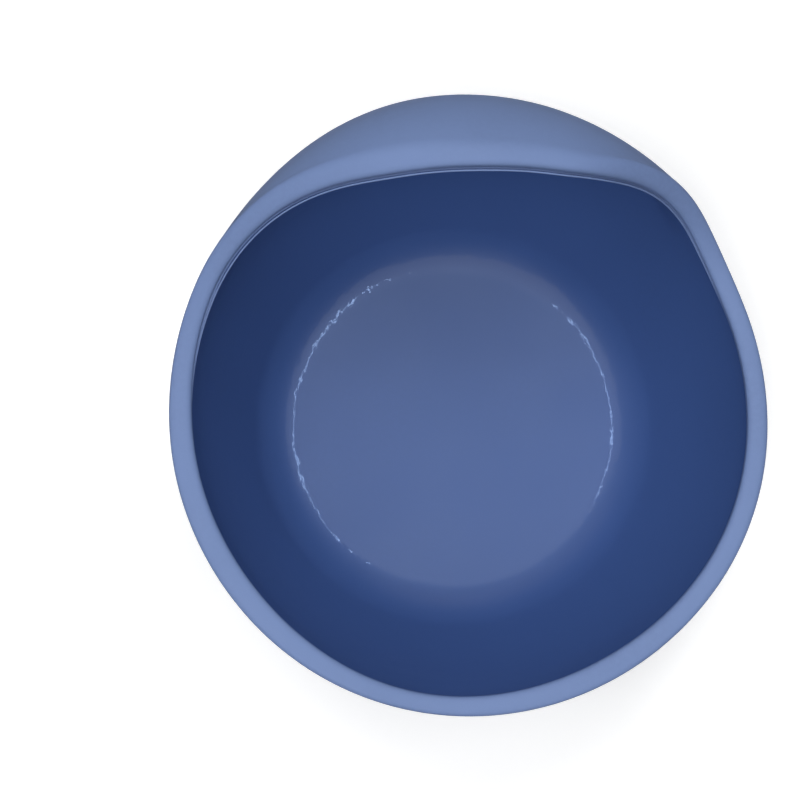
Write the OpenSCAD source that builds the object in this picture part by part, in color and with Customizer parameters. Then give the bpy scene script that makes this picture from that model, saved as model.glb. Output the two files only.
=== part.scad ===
// Suction bowl for feeding a baby: a round bowl with a high back wall that
// curls inward over the food, standing on a soft suction cup with a pull tab.
// The origin is on the table at the middle of the cup. The scoop wall is at +Y.

/* [Bowl] */
// Plan radius at the widest line round the front
base_r = 64.1; // [60:0.1:75]
// How much further the back wall stands out
back_bulge = 2.6; // [0:0.1:8]
// Height of the low rim round the front
low_h = 48; // [40:0.5:52]
// Height of the scoop wall's crest
crest_h = 73; // [60:0.5:76]
// Height of the widest line
wide_z = 54; // [50:0.5:58]
// Height of the floor inside the bowl
floor_z = 10; // [8:0.5:14]
// Radius of the flat part of the floor
floor_r = 34; // [25:0.5:40]
// Rounding between the floor and the wall, inside
floor_round = 12; // [6:0.5:16]
// Thickness of the floor
base_t = 3.5; // [2:0.1:5]
// Thickness of the wall
wall_t = 3.6; // [2.5:0.1:5]
// Steepness of the wall where it leaves the floor's rounding
wall_deg = 57; // [50:1:65]
// How far the bowl's middle is ahead of the suction cup's
bowl_ahead = 1.8; // [0:0.1:3]

/* [Scoop wall] */
// Inward reach of the curl's ellipse
curl_reach = 40.5; // [25:0.1:60]
// Height of the curl's ellipse
curl_rise = 25.2; // [24:0.1:40]
// Half of the crest held high, on the left
crest_hold_l = 18.4; // [5:0.1:60]
// Turn over which the left shoulder drops to the low rim
crest_fall_l = 82.8; // [30:0.1:100]
// Half of the crest held high, on the right
crest_hold_r = 17.6; // [5:0.1:60]
// Turn over which the right shoulder drops to the low rim
crest_fall_r = 53; // [30:0.1:100]
// How fast the crest drops away from its middle
crest_sag = 0.64; // [0:0.01:1.5]
// Turn over which the bulge fades, on the left
bulge_fall_l = 76; // [30:1:120]
// Turn over which the bulge fades, on the right
bulge_fall_r = 65; // [30:1:120]

/* [Rim] */
// Width of the flat band on top of the rim
band_w = 4.6; // [3.5:0.1:6]
// Rounding of the band's outer edge
outer_edge = 1.5; // [0.4:0.1:2]
// How far that edge's corner is drawn out beyond the wall
edge_flare = 0.7; // [0:0.1:1]
// Rounding of the band's inner edge
inner_edge = 1.2; // [0.4:0.1:1.3]
// How far the small ledge under the inner edge stands out
ledge_out = 0.35; // [0.1:0.05:1]
// How far the ledge starts below the rim
ledge_drop = 1.4; // [1.25:0.05:1.7]
// How far the ledge's foot is below the rim
ledge_foot = 2.3; // [2:0.1:4]

/* [Suction cup] */
// Radius of the stiff disc under the bowl
disc_r = 30; // [24:0.5:33]
// Height of the disc's underside
disc_z = 3.6; // [3:0.1:3.8]
// Play between the disc and the skirt, and between the lip and the tab
seam = 0.2; // [0.1:0.05:0.4]
// Thickness of the skirt
skirt_t = 1.2; // [0.8:0.1:2]
// Inner radius of the sealing lip
lip_in_r = 40; // [36:0.5:42]
// Outer radius of the sealing lip
lip_out_r = 44.5; // [43:0.5:50]
// Height of the sealing lip
lip_h = 2.1; // [1.5:0.1:3]

/* [Release tab] */
// Width of the tab
tab_w = 16; // [10:0.5:16]
// Thickness of the tab
tab_t = 1.8; // [1.2:0.1:3]
// Distance from the tab's root to its round tip
tab_reach = 16; // [16:0.5:20]
// Radius of the tab's bending root
root_r = 0.8; // [0.6:0.1:1.2]
// Number of grip ribs
rib_count = 3; // [1:1:4]
// Distance between grip ribs
rib_pitch = 2.8; // [2:0.1:4]
// Radius of a grip rib
rib_r = 0.7; // [0.4:0.1:1]

/* [Hidden] */
skin = [0.2, 0.28, 0.47];
cup_skin = [0.22, 0.3, 0.5];
turns = 96;
cup_turns = 180;
wall_rings = 16;
arc_rings = 5;
edge_rings = 3;
top_crowding = 1.35;
blend_h = 10;
sag_span = 60;
bulge_sag = 1.24;
ledge_slope = 0.15;
ledge_face = 0.5;
groove_back = 0.25;
curl_offset = 3.4;
curl_rise_offset = 3;

under_z = floor_z - base_t;
outer_arc = floor_round + base_t;
arc_z = floor_z + floor_round;
outer_start_r = floor_r + outer_arc * sin(wall_deg);
outer_start_z = arc_z - outer_arc * cos(wall_deg);
inner_start_r = floor_r + floor_round * sin(wall_deg);
inner_start_z = arc_z - floor_round * cos(wall_deg);

// From nothing to one, level at both ends; ease is the gentler of the two
function smooth(t) = let (c = min(max(t, 0), 1)) c * c * (3 - 2 * c);
function ease(t) = let (c = min(max(t, 0), 1)) c * c * c * (10 - 15 * c + 6 * c * c);

// Turn from the middle of the back, from -180 to 180, with the left side above nothing
function off_back(a) = a > 270 ? a - 450 : a - 90;

// One at the middle of the back, falling to nothing at the sides
function fade(d, hold_l, fall_l, hold_r, fall_r, sag) =
    let (hold = d > 0 ? hold_l : hold_r)
    let (fall = d > 0 ? fall_l : fall_r)
    (1 - ease((abs(d) - hold) / fall)) / (1 + sag * pow(d / sag_span, 2));

function rim_h(d) = low_h + (crest_h - low_h)
    * fade(d, crest_hold_l, crest_fall_l, crest_hold_r, crest_fall_r, crest_sag);
function plan_r(d) = base_r + back_bulge
    * fade(d, 0, bulge_fall_l, 0, bulge_fall_r, bulge_sag);

// A wall that leaves the floor at wall_deg, stands upright at wide_z and curls in above it
function wall_r(z, r_wide, r_start, z_start, reach, rise) =
    let (span = wide_z - z_start)
    let (power = span / tan(wall_deg) / (r_wide - r_start))
    z > wide_z
    ? r_wide - reach * (1 - sqrt(1 - pow((z - wide_z) / rise, 2)))
    : r_wide - (r_wide - r_start) * pow(1 - (z - z_start) / span, power);

function outer_r(z, r_wide) =
    wall_r(z, r_wide, outer_start_r, outer_start_z, curl_reach, curl_rise);
function plain_inner_r(z, r_wide) =
    wall_r(z, r_wide - wall_t, inner_start_r, inner_start_z,
           curl_reach - curl_offset, curl_rise - curl_rise_offset);

// The inner wall moves over to meet the rim's foot in the last blend_h of its height
function inner_r(z, r_wide, foot_r, foot_z) =
    plain_inner_r(z, r_wide)
    + (foot_r - plain_inner_r(foot_z, r_wide)) * smooth((z - foot_z + blend_h) / blend_h);

function bend(a, b, c, t) = a * pow(1 - t, 2) + b * 2 * t * (1 - t) + c * pow(t, 2);
function up_step(k) = 1 - pow(1 - k / wall_rings, top_crowding);

// Radius and height of every ring crossing, from under the floor round to the floor's top
function meridian(d) =
    let (h = rim_h(d))
    let (wide = plan_r(d))
    let (top_z = h - outer_edge)
    let (rim_r = outer_r(h, wide))
    let (band_r = rim_r - band_w)
    let (foot_r = band_r + groove_back)
    let (foot_z = h - ledge_foot)
    concat(
        [for (k = [0:arc_rings]) let (a = wall_deg * k / arc_rings)
            [floor_r + outer_arc * sin(a), arc_z - outer_arc * cos(a)]],
        [for (k = [1:wall_rings])
            let (z = outer_start_z + (top_z - outer_start_z) * up_step(k))
            [outer_r(z, wide), z]],
        [for (k = [1:edge_rings])
            bend([outer_r(top_z, wide), top_z], [rim_r + edge_flare, h], [rim_r - outer_edge, h],
                 k / edge_rings)],
        [for (k = [0:edge_rings])
            bend([band_r + inner_edge, h], [band_r, h], [band_r, h - inner_edge],
                 k / edge_rings)],
        [
            [band_r, h - ledge_drop],
            [band_r - ledge_out, h - ledge_drop - ledge_slope],
            [band_r - ledge_out, h - ledge_drop - ledge_face],
            [foot_r, foot_z]
        ],
        [for (k = [wall_rings - 1:-1:0])
            let (z = inner_start_z + (foot_z - inner_start_z) * up_step(k))
            [inner_r(z, wide, foot_r, foot_z), z]],
        [for (k = [arc_rings - 1:-1:0]) let (a = wall_deg * k / arc_rings)
            [floor_r + floor_round * sin(a), arc_z - floor_round * cos(a)]]
    );

rings = len(meridian(0));

module bowl_shell() {
    points = [
        for (i = [0:turns - 1])
            let (a = 360 * i / turns)
            for (p = meridian(off_back(a))) [p[0] * cos(a), p[0] * sin(a), p[1]]
    ];
    sides = [
        for (i = [0:turns - 1])
            for (k = [0:rings - 2])
                let (a = i * rings + k)
                let (b = (i + 1) % turns * rings + k)
                for (face = [[a, a + 1, b], [b, a + 1, b + 1]]) face
    ];
    underside = [for (i = [0:turns - 1]) i * rings];
    floor_top = [for (i = [turns - 1:-1:0]) i * rings + rings - 1];
    color(skin)
        translate([0, -bowl_ahead, 0])
            polyhedron(points, concat([underside, floor_top], sides), convexity = 6);
}

disc_edge = 0.8;
disc_dish = 0.2;
disc_rest = 6;

module suction_disc() {
    color(cup_skin)
        rotate_extrude($fn = cup_turns)
            polygon([
                [0, disc_z + disc_dish],
                [disc_r - disc_rest, disc_z],
                [disc_r - disc_edge, disc_z],
                [disc_r, disc_z + disc_edge],
                [disc_r, under_z],
                [0, under_z]
            ]);
}

skirt_steps = 8;
skirt_low_z = 0.9;
skirt_high_z = under_z - skirt_t - 0.7;
skirt_in_r = disc_r + seam;

module suction_skirt() {
    low = [
        for (k = [0:skirt_steps])
            let (u = k / skirt_steps)
            [skirt_in_r + (lip_in_r - skirt_in_r) * u,
             skirt_low_z + (skirt_high_z - skirt_low_z) * (0.5 + 0.5 * cos(180 * u))]
    ];
    high = [for (k = [skirt_steps:-1:0]) low[k] + [0, skirt_t]];
    color(cup_skin)
        rotate_extrude($fn = cup_turns)
            polygon(concat(low, high));
}

lip_inner_bevel = [1, 0.6];
lip_outer_bevel = [0.9, 0.5];
lip_top_bevel = 0.7;
pad_side = 1;
pad_out = 0.5;
pad_z = 0.3;
pad_from = lip_in_r + 1.5;
pad_end = lip_out_r + pad_out;

module sealing_lip() {
    pad_w = tab_w + 2 * pad_side;
    color(cup_skin)
        union() {
            rotate_extrude($fn = cup_turns)
                polygon([
                    [lip_in_r, lip_inner_bevel[1]],
                    [lip_in_r + lip_inner_bevel[0], 0],
                    [lip_out_r - lip_outer_bevel[0], 0],
                    [lip_out_r, lip_outer_bevel[1]],
                    [lip_out_r, lip_h - lip_top_bevel],
                    [lip_out_r - lip_top_bevel, lip_h],
                    [lip_in_r, lip_h]
                ]);
            translate([-pad_w / 2, pad_from, pad_z])
                cube([pad_w, pad_end - pad_from, lip_h - pad_z]);
        }
}

tab_z = 0.5;
root_y = pad_end + seam + root_r;
tip_r = tab_w / 2;
tip_y = root_y + tab_reach - tip_r;
rib_side = 3.5;
rib_ahead = 1;

module cross_rod(y, z, r, length) {
    translate([-length / 2, y, z])
        rotate([0, 90, 0])
            cylinder(h = length, r = r, $fn = 48);
}

module release_tab() {
    first_rib = tip_y + rib_ahead - rib_pitch * (rib_count - 1) / 2;
    color(cup_skin)
        union() {
            cross_rod(root_y, tab_z + root_r, root_r, tab_w);
            translate([-tip_r, root_y, tab_z])
                cube([tab_w, tip_y - root_y, tab_t]);
            translate([0, tip_y, tab_z])
                cylinder(h = tab_t, r = tip_r, $fn = 96);
            for (k = [0:rib_count - 1])
                cross_rod(first_rib + k * rib_pitch, tab_z + tab_t, rib_r, tab_w - 2 * rib_side);
        }
}

bowl_shell();
suction_disc();
suction_skirt();
sealing_lip();
release_tab();
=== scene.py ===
"""Looks of a silicone suction bowl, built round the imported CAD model.

Sizes are millimetres in the CAD's own frame and become metres in the meshes. The bowl is turned
from one outline per angle, so that its rim can rise, bulge and wander. Angles in degrees named d
are measured from the middle of the back, and grow to the left.
"""

import math

import bpy
from mathutils import Matrix, Vector


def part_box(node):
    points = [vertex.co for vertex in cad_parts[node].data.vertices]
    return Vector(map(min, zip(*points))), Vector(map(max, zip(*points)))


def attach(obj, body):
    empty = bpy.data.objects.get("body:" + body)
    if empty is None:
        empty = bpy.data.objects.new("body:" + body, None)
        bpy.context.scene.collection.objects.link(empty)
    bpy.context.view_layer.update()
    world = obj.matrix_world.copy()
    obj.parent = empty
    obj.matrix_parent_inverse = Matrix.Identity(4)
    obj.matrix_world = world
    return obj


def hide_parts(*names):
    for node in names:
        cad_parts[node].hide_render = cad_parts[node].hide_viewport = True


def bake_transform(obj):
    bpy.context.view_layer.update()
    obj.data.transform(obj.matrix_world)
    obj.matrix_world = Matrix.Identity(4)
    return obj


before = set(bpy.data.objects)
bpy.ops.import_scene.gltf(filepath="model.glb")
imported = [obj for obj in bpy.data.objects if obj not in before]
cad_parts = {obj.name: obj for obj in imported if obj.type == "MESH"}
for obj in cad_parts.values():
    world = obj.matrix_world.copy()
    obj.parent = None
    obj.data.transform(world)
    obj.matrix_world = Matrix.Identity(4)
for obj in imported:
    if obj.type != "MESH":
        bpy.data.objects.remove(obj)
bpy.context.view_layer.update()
MM = 0.001

# ---------------------------------------------------------------- bowl sizes
BASE_R = 64.1
BACK_BULGE = 2.6
LOW_H = 48.0
CREST_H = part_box("bowl_shell")[1].z / MM
WIDE_Z = 54.0
FLOOR_Z = 10.0
FLOOR_R = 34.0
FLOOR_ROUND = 12.0
UNDER_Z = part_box("bowl_shell")[0].z / MM
WALL_T = 3.6
WALL_DEG = 57.0
BOWL_AHEAD = 1.8

# The scoop wall curls in above WIDE_Z, its inside face a little less than its outside
CURL_REACH, CURL_RISE = 40.5, 25.2
CURL_OFFSET, CURL_RISE_OFFSET = 3.4, 3.0

# How the back's height and bulge hold and then fall away on each side, in degrees
CREST = dict(hold_l=18.4, fall_l=82.8, hold_r=17.6, fall_r=53.0, sag=0.64)
BULGE = dict(hold_l=0.0, fall_l=76.0, hold_r=0.0, fall_r=65.0, sag=1.24)
SAG_SPAN = 60.0

# The flat band on the rim, and the roundings of its two edges
BAND_W = 4.6
OUTER_EDGE = 1.5
EDGE_FLARE = 0.7
INNER_EDGE = 1.2
EDGE_SOFT = 0.8
LEAST_FLAT = 0.2

# The groove and the fine ledge inside the band, and the degrees of the back that they reach
GROOVE_W, GROOVE_D = 0.6, 0.9
LEDGE_OUT = 0.35
LEDGE_DROP = 1.4
LEDGE_FACE = 0.5
LEDGE_FOOT = 2.3
LEDGE_MID, LEDGE_HOLD, LEDGE_FALL = 12.0, 45.0, 40.0
CORNER, LEDGE_CORNER = 0.1, 0.12
FOOT_BACK = 0.25
BLEND_H = 10.0

# Low waves of a soft moulding: (waves per turn, millimetres, phase in degrees)
RIM_WAVES = ((3, 0.16, 68), (5, 0.19, 143), (6, 0.11, 57))
BAND_WAVES = ((1, 0.22, 170), (3, 0.25, 107), (4, 0.23, -120), (6, 0.12, 54))

# Where the band is a little narrower or wider at the back: (millimetres, middle, half span)
BAND_TRIMS = ((0.55, -12.0, 16.0), (0.45, -24.0, 6.0), (-0.65, 20.0, 12.0))

# ---------------------------------------------------------------- cup sizes
DISC_R, DISC_Z, DISH_R, DISH = 30.0, 3.6, 24.0, 0.2
LIP_IN_R, LIP_OUT_R, LIP_H = 40.0, 44.5, 2.1
SKIRT_T, SKIRT_HIGH_Z, SKIRT_LOW_Z = 1.2, 4.6, 0.9
PAD_END = LIP_OUT_R + 0.5
ROOT_Y, ROOT_Z = 46.0, 1.3
TAB_W, TAB_L, TAB_Z, TAB_T = 16.0, 8.0, 0.5, 1.8
TAB_START = LIP_IN_R + 1.8
TAB_END = ROOT_Y + TAB_L
TAB_TIP = TAB_END + TAB_W / 2
TAB_EDGE = 0.9
TAB_SQUARENESS = 2 / 7
ROOT_THIN, ROOT_SPAN = 0.14, 0.9
ROOT_FLARE, ROOT_WAIST = 1.0, 0.9
RIBS, RIB_PITCH, RIB_R, RIB_L = 3, 2.8, 0.7, 9.0
RIB_RISE, RIB_FADE = 0.9, 1.2
FIRST_RIB = TAB_END - RIB_PITCH * (RIBS - 1) / 2 + 1

# ---------------------------------------------------------------- mesh density
TURNS = 320
WALL_RINGS = 44
ARC_RINGS = 12
EDGE_RINGS = 7
TOP_CROWDING = 1.35
CUP_TURNS = 256
SKIRT_RINGS = 24
TAB_STATIONS, TAB_AROUND, TIP_CROWDING = 110, 56, 1.6
SHARP_DEG = 38


# ---------------------------------------------------------------- curves
def smooth(t):
    t = min(max(t, 0.0), 1.0)
    return t * t * (3 - 2 * t)


def ease(t):
    t = min(max(t, 0.0), 1.0)
    return t ** 3 * (10 - 15 * t + 6 * t * t)


def bump_at(x, middle, span):
    """One at the middle, falling off like a bell over the span."""
    return math.exp(-((x - middle) / span) ** 2)


def waves(angle, terms):
    return sum(mm * math.cos(n * angle + math.radians(phase)) for n, mm, phase in terms)


def bend(a, b, c, t):
    """A point on the curve that leaves a towards b and reaches c."""
    return tuple(p * (1 - t) ** 2 + q * 2 * t * (1 - t) + s * t * t
                 for p, q, s in zip(a, b, c))


def soften(corners, steps=5):
    """An outline with each corner (r, z, rounding) turned into a small curve."""
    out = []
    for i, (r, z, size) in enumerate(corners):
        if size == 0 or i in (0, len(corners) - 1):
            out.append((r, z))
            continue
        here = Vector((r, z))
        before = Vector(corners[i - 1][:2]) - here
        after = Vector(corners[i + 1][:2]) - here
        a = here + before.normalized() * min(size, before.length * 0.49)
        c = here + after.normalized() * min(size, after.length * 0.49)
        out += [bend(a, here, c, k / steps) for k in range(steps + 1)]
    return out


# ---------------------------------------------------------------- bowl outline
def fade(d, hold_l, fall_l, hold_r, fall_r, sag):
    """One at the middle of the back, falling to nothing at the sides."""
    hold, fall = (hold_l, fall_l) if d > 0 else (hold_r, fall_r)
    return (1 - ease((abs(d) - hold) / fall)) / (1 + sag * (d / SAG_SPAN) ** 2)


def arc(radius, k):
    """A point on the rounding between floor and wall."""
    a = math.radians(WALL_DEG) * k / ARC_RINGS
    return FLOOR_R + radius * math.sin(a), FLOOR_Z + FLOOR_ROUND - radius * math.cos(a)


OUTER_ARC = FLOOR_Z + FLOOR_ROUND - UNDER_Z
OUTER_START = arc(OUTER_ARC, ARC_RINGS)
INNER_START = arc(FLOOR_ROUND, ARC_RINGS)


def wall_r(z, r_wide, r_start, z_start, reach, rise):
    """A wall that leaves the floor at WALL_DEG, stands upright at WIDE_Z and curls in above."""
    if z > WIDE_Z:
        return r_wide - reach * (1 - math.sqrt(1 - ((z - WIDE_Z) / rise) ** 2))
    span = WIDE_Z - z_start
    power = span / math.tan(math.radians(WALL_DEG)) / (r_wide - r_start)
    return r_wide - (r_wide - r_start) * max(0.0, 1 - (z - z_start) / span) ** power


def outer_r(z, r_wide):
    return wall_r(z, r_wide, *OUTER_START, CURL_REACH, CURL_RISE)


def inner_r(z, r_wide):
    return wall_r(z, r_wide - WALL_T, *INNER_START,
                  CURL_REACH - CURL_OFFSET, CURL_RISE - CURL_RISE_OFFSET)


def up_step(k):
    """How far up the wall ring k is. The rings crowd towards the top."""
    return 1 - (1 - k / WALL_RINGS) ** TOP_CROWDING


def outside_wall(top_z, wide):
    pts = [arc(OUTER_ARC, k) for k in range(ARC_RINGS + 1)]
    for k in range(1, WALL_RINGS + 1):
        z = OUTER_START[1] + (top_z - OUTER_START[1]) * up_step(k)
        pts.append((outer_r(z, wide), z))
    return pts


def band(start, rim_r, band_r, h, ledge_size):
    """The outer edge's rounding, the flat, and the inner edge's rounding."""
    steps = [k / EDGE_RINGS for k in range(1, EDGE_RINGS + 1)]
    flat_r = rim_r - OUTER_EDGE
    lip_r = band_r + GROOVE_W * ledge_size
    turn_r = min(lip_r + INNER_EDGE + EDGE_SOFT, flat_r - LEAST_FLAT)
    return ([bend(start, (rim_r + EDGE_FLARE, h), (flat_r, h), t) for t in steps]
            + [(turn_r + (flat_r - turn_r) * (1 - t), h) for t in (0.33, 0.67, 1.0)]
            + [bend((turn_r, h), (lip_r, h), (lip_r, h - INNER_EDGE), t) for t in steps])


def ledge_outline():
    """The groove and the fine ledge, measured from the band's inner edge at the rim's height."""
    low, end = -LEDGE_DROP - GROOVE_D, -LEDGE_DROP - LEDGE_FACE
    return soften([(GROOVE_W, -INNER_EDGE, 0), (GROOVE_W, low, CORNER),
                   (CORNER / 2, low, CORNER), (0, -LEDGE_DROP, CORNER),
                   (-LEDGE_OUT, -LEDGE_DROP, LEDGE_CORNER), (-LEDGE_OUT, end, LEDGE_CORNER),
                   (CORNER - LEDGE_OUT, end - CORNER, 0)], steps=3)[1:]


LEDGE_LINE = ledge_outline()


def ledge(band_r, h, size):
    """The groove and ledge at size one, and a plain upright face at size nothing."""
    pts = []
    for k, (off, down) in enumerate(LEDGE_LINE, 1):
        plain = -INNER_EDGE + (LEDGE_LINE[-1][1] + INNER_EDGE) * k / len(LEDGE_LINE)
        pts.append((band_r + off * size, h + plain + (down - plain) * size))
    return pts


def inside_wall(band_r, h, wide):
    """From the ledge's foot down the wall and across the floor."""
    foot_r, foot_z = band_r + FOOT_BACK, h - LEDGE_FOOT
    shift = foot_r - inner_r(foot_z, wide)
    pts = [(foot_r, foot_z)]
    for k in range(WALL_RINGS - 1, -1, -1):
        z = INNER_START[1] + (foot_z - INNER_START[1]) * up_step(k)
        pts.append((inner_r(z, wide) + shift * smooth((z - foot_z + BLEND_H) / BLEND_H), z))
    pts += [arc(FLOOR_ROUND, k) for k in range(ARC_RINGS - 1, -1, -1)]
    return pts + [(FLOOR_R * f, FLOOR_Z) for f in (0.75, 0.5, 0.25)]


def meridian(angle):
    """Radius and height of each ring at one angle, from under the floor round to its top,
    and the number of rings that belong to the satin outside."""
    d = (math.degrees(angle) - 90 + 180) % 360 - 180
    rise = fade(d, **CREST)
    h = LOW_H + (CREST_H - LOW_H) * rise
    wide = BASE_R + BACK_BULGE * fade(d, **BULGE) + waves(angle, RIM_WAVES)
    rim_r = outer_r(h, wide)
    band_r = rim_r - BAND_W - (1 - rise) * waves(angle, BAND_WAVES)
    band_r += sum(mm * bump_at(d, middle, span) for mm, middle, span in BAND_TRIMS)
    ledge_size = 1 - smooth((abs(d - LEDGE_MID) - LEDGE_HOLD) / LEDGE_FALL)
    top_z = h - OUTER_EDGE
    satin = outside_wall(top_z, wide)
    satin += band((outer_r(top_z, wide), top_z), rim_r, band_r, h, ledge_size)
    satin += ledge(band_r, h, ledge_size)
    return satin + inside_wall(band_r, h, wide), len(satin)


# ---------------------------------------------------------------- meshes
def solid(name, verts, faces):
    mesh = bpy.data.meshes.new(name)
    mesh.from_pydata(verts, [], faces)
    mesh.validate()
    mesh.shade_smooth()
    mesh.set_sharp_from_angle(angle=math.radians(SHARP_DEG))
    obj = bpy.data.objects.new(name, mesh)
    bpy.context.scene.collection.objects.link(obj)
    return obj


def lathe(name, columns, centre_low, centre_high, ahead=0.0):
    """A closed mesh from one column of (radius, height) per turn, and its two middle points."""
    turns, rings = len(columns), len(columns[0])
    verts = []
    for i, column in enumerate(columns):
        a = 2 * math.pi * i / turns
        verts += [(r * math.cos(a) * MM, (r * math.sin(a) - ahead) * MM, z * MM)
                  for r, z in column]
    low, high = len(verts), len(verts) + 1
    verts += [(0, -ahead * MM, centre_low * MM), (0, -ahead * MM, centre_high * MM)]
    faces = []
    for i in range(turns):
        a, b = i * rings, (i + 1) % turns * rings
        faces.append((a, low, b))
        faces += [(a + k, b + k, b + k + 1, a + k + 1) for k in range(rings - 1)]
        faces.append((b + rings - 1, high, a + rings - 1))
    return solid(name, verts, faces)


def two_materials(obj, rings, first, second, is_second):
    """Gives each ring of a lathed piece the first or the second material."""
    obj.data.materials.append(first)
    obj.data.materials.append(second)
    middle_points = len(obj.data.vertices) - 2
    for face in obj.data.polygons:
        ring = min(v % rings for v in face.vertices if v < middle_points)
        face.material_index = int(is_second(ring))


# ---------------------------------------------------------------- materials
class Nodes:
    """Short calls for building one node material."""

    def __init__(self, tree):
        self.tree = tree
        self.tree.nodes.clear()

    def add(self, kind, inputs=None, **settings):
        node = self.tree.nodes.new(kind)
        for key, value in settings.items():
            setattr(node, key, value)
        for key, value in (inputs or {}).items():
            self.feed(node.inputs[key], value)
        return node

    def feed(self, socket, value):
        """Links another node's output to the socket, or sets a constant on it."""
        if isinstance(value, bpy.types.NodeSocket):
            self.tree.links.new(value, socket)
        else:
            socket.default_value = value

    def noise(self, where, scale, detail=2.0, rough=0.5):
        node = self.add("ShaderNodeTexNoise",
                        {"Vector": where, "Scale": scale, "Detail": detail, "Roughness": rough})
        return node.outputs["Fac"]

    def spread(self, value, low, high, start=0.3, end=0.7):
        node = self.add("ShaderNodeMapRange",
                        {"Value": value, "From Min": start, "From Max": end,
                         "To Min": low, "To Max": high})
        return node.outputs["Result"]

    def mix(self, amount, a, b):
        node = self.add("ShaderNodeMix", {"Factor": amount}, data_type="RGBA")
        self.feed(node.inputs[6], a)
        self.feed(node.inputs[7], b)
        return node.outputs[2]

    def bump(self, height, strength, distance, under=None):
        inputs = {"Height": height, "Strength": strength, "Distance": distance}
        if under is not None:
            inputs["Normal"] = under
        return self.add("ShaderNodeBump", inputs).outputs["Normal"]


def new_material(name):
    material = bpy.data.materials.new(name)
    material.use_nodes = True
    return material, Nodes(material.node_tree)


# Noise scales, per metre
CLOUD_SCALE, SPECK_SCALE, GLOSS_SCALE = 34.0, 900.0, 70.0
RIPPLE_SCALE, GRAIN_SCALE, WOBBLE_SCALE = 48.0, 2600.0, 280.0
SILICONE_IOR, COAT_ROUGH = 1.41, 0.05
FLOOR_WOBBLE, WOBBLE_FROM, WOBBLE_FULL = 0.1, FLOOR_R - 0.3, FLOOR_R + 0.6


def shade(colour, factor):
    return tuple(c * factor for c in colour) + (1.0,)


def past_floor(n, where):
    """Little on the bowl's flat floor, where a wobble would glint, and one beyond its edge."""
    flat = n.add("ShaderNodeVectorMath",
                 {0: where, 1: (1, 1, 0), 2: (0, BOWL_AHEAD * MM, 0)}, operation="MULTIPLY_ADD")
    away = n.add("ShaderNodeVectorMath", {0: flat.outputs["Vector"]}, operation="LENGTH")
    return n.spread(away.outputs["Value"], FLOOR_WOBBLE, 1.0, WOBBLE_FROM * MM, WOBBLE_FULL * MM)


def silicone(name, colour, rough, rough_spread, grain, ripple, mottle=0.05, specular=0.5,
             coat=0.0, wobble=0.00002):
    """Dyed silicone rubber: cloudy pigment, a fine mould grain and slow ripples, and where it
    is polished a thin clear coat that wobbles. Heights are metres."""
    material, n = new_material(name)
    where = n.add("ShaderNodeTexCoord").outputs["Object"]
    cloud = n.spread(n.noise(where, CLOUD_SCALE, 3.0), 0.0, 1.0)
    speck = n.spread(n.noise(where, SPECK_SCALE, 2.0), 0.0, 1.0, 0.35, 0.65)
    tint = n.mix(cloud, shade(colour, 1 - mottle), shade(colour, 1 + mottle))
    tint = n.mix(n.spread(speck, 0.0, 0.5), tint, shade(colour, 1 + mottle / 2))
    roughness = n.spread(n.noise(where, GLOSS_SCALE, 4.0, 0.6),
                         rough - rough_spread, rough + rough_spread)
    slow = n.bump(n.noise(where, RIPPLE_SCALE, 1.0), 1.0, ripple)
    fine = n.bump(n.noise(where, GRAIN_SCALE, 3.0, 0.6), 1.0, grain, slow)
    wavy = n.bump(n.noise(where, WOBBLE_SCALE, 3.0), past_floor(n, where), wobble)
    shader = n.add("ShaderNodeBsdfPrincipled",
                   {"Base Color": tint, "Roughness": roughness, "Normal": fine,
                    "IOR": SILICONE_IOR, "Specular IOR Level": specular,
                    "Coat Weight": coat, "Coat Roughness": COAT_ROUGH, "Coat Normal": wavy})
    n.add("ShaderNodeOutputMaterial", {"Surface": shader.outputs["BSDF"]})
    return material


# The inside blue is the same silicone as the outside blue, darkened as painted shade for the
# bowl's deep hollow; its polish comes from roughness and coat
OUTSIDE_BLUE = (0.139, 0.202, 0.384)
INSIDE_PAINTED_SHADE_BLUE = (0.0385, 0.0785, 0.228)
OUTSIDE = silicone("silicone_satin", OUTSIDE_BLUE, 0.58, 0.05, 0.000020, 0.00005)
INSIDE = silicone("silicone_polished_painted_shade", INSIDE_PAINTED_SHADE_BLUE, 0.40, 0.03, 0.000004, 0.00004,
                  mottle=0.03, specular=0.42, coat=0.22, wobble=0.00015)
CUP_SATIN = silicone("cup_satin", OUTSIDE_BLUE, 0.5, 0.05, 0.000015, 0.00004)
# The cup's glossy underside takes the same darker blue, painted shade on one silicone
CUP_GLOSS_PAINTED_SHADE = silicone("cup_gloss_painted_shade", INSIDE_PAINTED_SHADE_BLUE, 0.2, 0.04, 0.000003, 0.00006)


# ---------------------------------------------------------------- pieces
def make_bowl():
    columns, satin_rings = [], 0
    for i in range(TURNS):
        column, satin_rings = meridian(2 * math.pi * i / TURNS)
        columns.append(column)
    bowl = lathe("bowl", columns, UNDER_Z, FLOOR_Z, BOWL_AHEAD)
    # The inside rings get the darker blue of painted shade
    two_materials(bowl, len(columns[0]), OUTSIDE, INSIDE, lambda ring: ring >= satin_rings - 1)
    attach(bowl, "bowl")
    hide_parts("bowl_shell")


def skirt_line(lift):
    """The thin web's S curve, from the disc out to the lip."""
    line = []
    for k in range(SKIRT_RINGS + 1):
        u = k / SKIRT_RINGS
        drop = 0.5 + 0.5 * math.cos(math.pi * u)
        line.append((DISC_R + 0.3 + (LIP_IN_R - DISC_R - 0.3) * u,
                     SKIRT_LOW_Z + lift + (SKIRT_HIGH_Z - SKIRT_LOW_Z) * drop))
    return line


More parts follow.
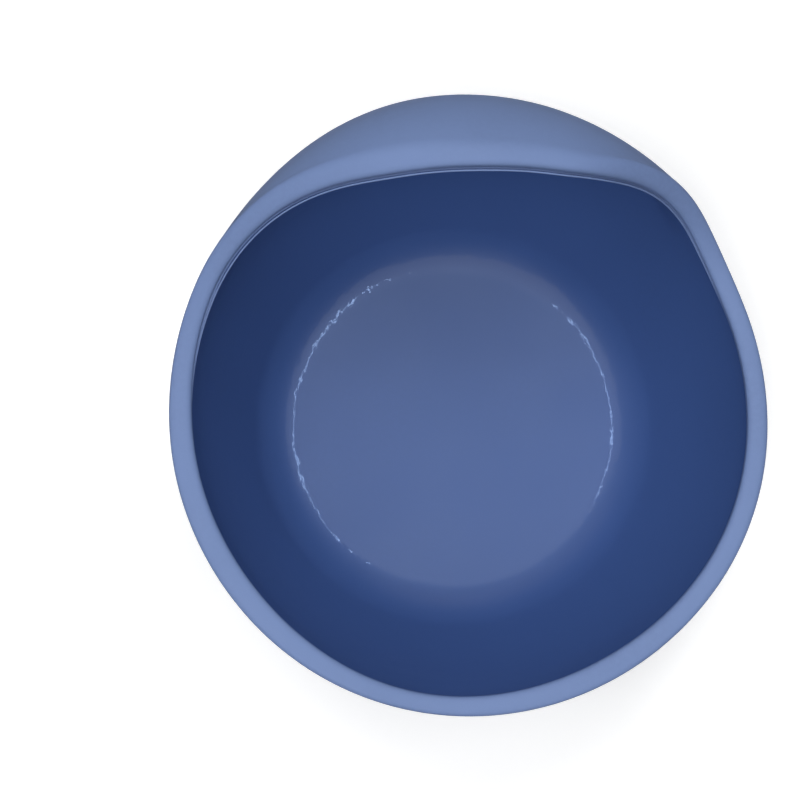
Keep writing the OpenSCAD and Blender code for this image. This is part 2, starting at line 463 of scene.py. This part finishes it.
def cup_outline():
    """The cup from under its disc, out to the lip and back up to the bowl, and the number of
    its rings that are glossy."""
    disc = soften([(DISH_R * 0.5, DISC_Z + DISH / 2, 0), (DISH_R, DISC_Z, 1.0),
                   (DISC_R - 0.6, DISC_Z, 0.5), (DISC_R + 0.1, SKIRT_HIGH_Z - 0.1, 0.3),
                   (DISC_R + 0.3, SKIRT_HIGH_Z, 0)])
    lip = soften([(LIP_IN_R, SKIRT_LOW_Z, 0), (LIP_IN_R + 1, 0, 0.5),
                  (LIP_OUT_R - 0.9, 0, 0.4), (LIP_OUT_R, 0.5, 0.35),
                  (LIP_OUT_R, LIP_H - 0.7, 0.4), (LIP_OUT_R - 0.7, LIP_H, 0.5),
                  (LIP_IN_R, LIP_H, 0)])
    top = skirt_line(SKIRT_T)[::-1]
    neck = soften([top[-1] + (0,), (DISC_R, SKIRT_HIGH_Z + SKIRT_T + 0.1, 0.4),
                   (DISC_R, UNDER_Z, 0)])
    under = disc + skirt_line(0.0)[1:]
    return under + lip[1:] + top[1:] + neck[1:], len(under) + 9


def make_cup():
    outline, gloss_rings = cup_outline()
    cup = lathe("suction_cup", [outline] * CUP_TURNS, DISC_Z + DISH, UNDER_Z)
    # The underside rings get the darker blue of painted shade
    two_materials(cup, len(outline), CUP_SATIN, CUP_GLOSS_PAINTED_SHADE, lambda ring: ring < gloss_rings)
    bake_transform(cup)
    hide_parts("suction_disc", "suction_skirt", "sealing_lip")


def tab_half_width(y):
    """Half the tab's width, from inside the lip to its round tip."""
    tip_r = TAB_W / 2
    if y > TAB_END:
        return math.sqrt(max(0.0, tip_r ** 2 - (y - TAB_END) ** 2))
    flare = smooth((y - PAD_END + 2.5) / 4.0)
    waist = math.sin(math.pi * smooth((y - PAD_END) / 6.0))
    return tip_r + (1 - flare) * ROOT_FLARE - ROOT_WAIST * waist


def rib_height(x, y):
    """How far the grip ribs stand up across the top of the tab."""
    side = smooth((RIB_L / 2 - abs(x)) / RIB_FADE)
    height = 0.0
    for r in range(RIBS):
        off = (y - FIRST_RIB - r * RIB_PITCH) / RIB_R
        height += side * RIB_R * max(0.0, 1 - off * off) ** 0.5 * RIB_RISE
    return height


def tab_ring(y):
    """The tab's section at y, a rectangle with well rounded corners."""
    half_w = max(tab_half_width(y), 0.02)
    half_t = TAB_T / 2 * (0.25 + 0.75 * math.sqrt(smooth((TAB_TIP - y) / TAB_EDGE)))
    half_t *= 1 - ROOT_THIN * bump_at(y, ROOT_Y, ROOT_SPAN)
    ring = []
    for k in range(TAB_AROUND):
        a = 2 * math.pi * k / TAB_AROUND
        c, s = math.cos(a), math.sin(a)
        x = math.copysign(abs(c) ** TAB_SQUARENESS, c) * half_w
        z = math.copysign(abs(s) ** TAB_SQUARENESS, s) * half_t
        if s > 0:
            z += rib_height(x, y)
        ring.append((x * MM, y * MM, (TAB_Z + TAB_T / 2 + z) * MM))
    return ring


def make_tab():
    verts, faces = [], []
    for i in range(TAB_STATIONS + 1):
        u = i / TAB_STATIONS
        verts += tab_ring(TAB_START + (TAB_TIP - TAB_START) * (1 - (1 - u) ** TIP_CROWDING))
    for i in range(TAB_STATIONS):
        a, b = i * TAB_AROUND, (i + 1) * TAB_AROUND
        for k in range(TAB_AROUND):
            j = (k + 1) % TAB_AROUND
            faces.append((a + k, b + k, b + j, a + j))
    faces.append(tuple(range(TAB_AROUND)))
    faces.append(tuple(range(TAB_STATIONS * TAB_AROUND, (TAB_STATIONS + 1) * TAB_AROUND))[::-1])
    tab = solid("pull_tab", verts, faces)
    tab.data.materials.append(CUP_SATIN)
    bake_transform(tab)
    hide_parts("release_tab")


# ---------------------------------------------------------------- studio, in metres
CAMERA_AT = Vector((-0.0763, -0.0568, 0.750))
CAMERA_AIM = Vector((0.0858, 0.0841, -1.0))
CAMERA_LENS, CAMERA_SENSOR = 153.7, 36.0
MIDDLE = (0, 0, 0.03)
ROOM_R, FLOOR_EDGE, FLOOR_RINGS, STAGE_TURNS = 3.0, 0.6, 12, 64
FLOOR_EMISSION = 0.25

# Radiance that comes up from below, and where in the sky it has gone (0 down, 1 up)
GROUND_GLOW, GLOW_FULL, GLOW_GONE = 0.37, 0.49, 0.53

# The ceiling panel: place, width, depth and radiance
CEILING_AT, CEILING_SIZE, CEILING_RADIANCE = (0.1, -0.35, 1.4), (1.4, 1.2), 1.5

# Soft lights left out of reflections: name, degrees round from +X, degrees from upright,
# metres across, radiance
FILLS = (("key", 212, 21, 0.44, 6.9), ("back_high", 80, 24, 0.44, 4.8),
         ("back_left", 135, 35, 0.53, 4.2), ("back_low", 80, 42, 0.7, 4.5),
         ("front", 260, 42, 0.7, 4.2), ("left", 180, 50, 0.7, 1.3))
FILL_REACH = 1.5

# Narrow lights seen only as reflections, the two thin arcs: name, place, length
STRIPS = (("strip_right", (0.27, 0.045, 1.1), 0.38), ("strip_left", (-0.064, 0.03, 1.1), 0.24))
STRIP_W, STRIP_RADIANCE, STRIP_COLOUR = 0.04, 33.0, (0.55, 0.8, 1.3)


def sheet(name, line):
    """An open surface of revolution through (radius, height) points."""
    verts, faces = [(0, 0, line[0][1])], []
    turns = STAGE_TURNS
    for r, z in line[1:]:
        for i in range(turns):
            a = 2 * math.pi * i / turns
            verts.append((r * math.cos(a), r * math.sin(a), z))
    faces += [(0, 1 + i, 1 + (i + 1) % turns) for i in range(turns)]
    for k in range(len(line) - 2):
        a, b = 1 + k * turns, 1 + (k + 1) * turns
        faces += [(a + i, b + i, b + (i + 1) % turns, a + (i + 1) % turns)
                  for i in range(turns)]
    return solid(name, verts, faces)


def hide_from_bounces(obj):
    """Seen by the camera, but no light reaches the bowl from it."""
    obj.visible_diffuse = False
    obj.visible_glossy = False


def make_backdrop():
    """A white ball round everything, for views from low down."""
    line = [(ROOM_R * math.sin(a), ROOM_R * math.cos(a))
            for a in (math.radians(5 * k) for k in range(37))]
    ball = sheet("backdrop", line)
    material, n = new_material("white_backdrop")
    glow = n.add("ShaderNodeEmission", {"Color": (1, 1, 1, 1), "Strength": 1.0})
    n.add("ShaderNodeOutputMaterial", {"Surface": glow.outputs["Emission"]})
    ball.data.materials.append(material)
    ball.visible_shadow = False
    hide_from_bounces(ball)


def make_floor():
    """A pale disc that ends before its far side turns grey, lit a little by itself."""
    floor = sheet("floor", [(FLOOR_EDGE * k / FLOOR_RINGS, 0) for k in range(FLOOR_RINGS + 1)])
    material, n = new_material("pale_floor")
    where = n.add("ShaderNodeTexCoord").outputs["Object"]
    tint = n.mix(n.noise(where, 6.0), (0.96, 0.96, 0.96, 1), (0.98, 0.98, 0.98, 1))
    shader = n.add("ShaderNodeBsdfPrincipled",
                   {"Base Color": tint, "Roughness": 0.9, "Specular IOR Level": 0.1,
                    "Emission Color": (1, 1, 1, 1), "Emission Strength": FLOOR_EMISSION})
    n.add("ShaderNodeOutputMaterial", {"Surface": shader.outputs["BSDF"]})
    floor.data.materials.append(material)
    hide_from_bounces(floor)


def look(obj, place, target):
    """Points obj's -Z at target, with +Y as nearly upward in its own view as can be."""
    back = (Vector(place) - Vector(target)).normalized()
    right = Vector((0, 1, 0)).cross(back).normalized()
    turn = Matrix((right, back.cross(right), back)).transposed()
    obj.matrix_world = Matrix.Translation(place) @ turn.to_4x4()


def make_camera():
    camera = bpy.data.objects.new("camera", bpy.data.cameras.new("camera"))
    bpy.context.scene.collection.objects.link(camera)
    camera.data.sensor_width = CAMERA_SENSOR
    camera.data.lens = CAMERA_LENS
    look(camera, CAMERA_AT, CAMERA_AT + CAMERA_AIM)
    bpy.context.scene.camera = camera
    bpy.context.scene.view_settings.view_transform = "Standard"


def make_panel(name, place, size, size_y, radiance, target=None):
    """A soft light that hangs level, or faces target, given by the radiance of its face."""
    data = bpy.data.lights.new(name, "AREA")
    data.shape, data.size, data.size_y = "RECTANGLE", size, size_y
    data.energy = radiance * math.pi * size * size_y
    light = bpy.data.objects.new(name, data)
    bpy.context.scene.collection.objects.link(light)
    look(light, place, target or (place[0], place[1], 0))
    return light


def swing(turn, tilt):
    """A place seen from MIDDLE turned round from +X and tilted from upright, in degrees."""
    turn, tilt = math.radians(turn), math.radians(tilt)
    return (FILL_REACH * math.sin(tilt) * math.cos(turn),
            FILL_REACH * math.sin(tilt) * math.sin(turn),
            FILL_REACH * math.cos(tilt) + MIDDLE[2])


def make_lights():
    make_panel("ceiling", CEILING_AT, *CEILING_SIZE, CEILING_RADIANCE)
    for name, turn, tilt, size, radiance in FILLS:
        fill = make_panel(name, swing(turn, tilt), size, size, radiance, MIDDLE)
        fill.visible_glossy = False
    for name, place, length in STRIPS:
        strip = make_panel(name, place, STRIP_W, length, STRIP_RADIANCE)
        strip.visible_diffuse = False
        strip.data.color = STRIP_COLOUR


def make_world():
    """No light from above, where the panels are, and a soft glow from below."""
    world = bpy.data.worlds.new("room")
    bpy.context.scene.world = world
    world.use_nodes = True
    n = Nodes(world.node_tree)
    way = n.add("ShaderNodeTexCoord").outputs["Generated"]
    up = n.add("ShaderNodeSeparateXYZ", {"Vector": way})
    height = n.spread(up.outputs["Z"], 0.0, 1.0, start=-1.0, end=1.0)
    ramp = n.add("ShaderNodeValToRGB", {"Fac": height})
    full, gone = ramp.color_ramp.elements
    full.position, full.color = GLOW_FULL, (GROUND_GLOW, GROUND_GLOW, GROUND_GLOW, 1)
    gone.position, gone.color = GLOW_GONE, (0, 0, 0, 1)
    back = n.add("ShaderNodeBackground", {"Color": ramp.outputs["Color"], "Strength": 1.0})
    n.add("ShaderNodeOutputWorld", {"Surface": back.outputs["Background"]})


make_floor()
make_backdrop()
make_camera()
make_lights()
make_world()
make_bowl()
make_cup()
make_tab()

# The CAD nodes are hidden, but each still has a material of its own kind
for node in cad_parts.values():
    node.data.materials.clear()
    node.data.materials.append(OUTSIDE if node.name == "bowl_shell" else CUP_SATIN)
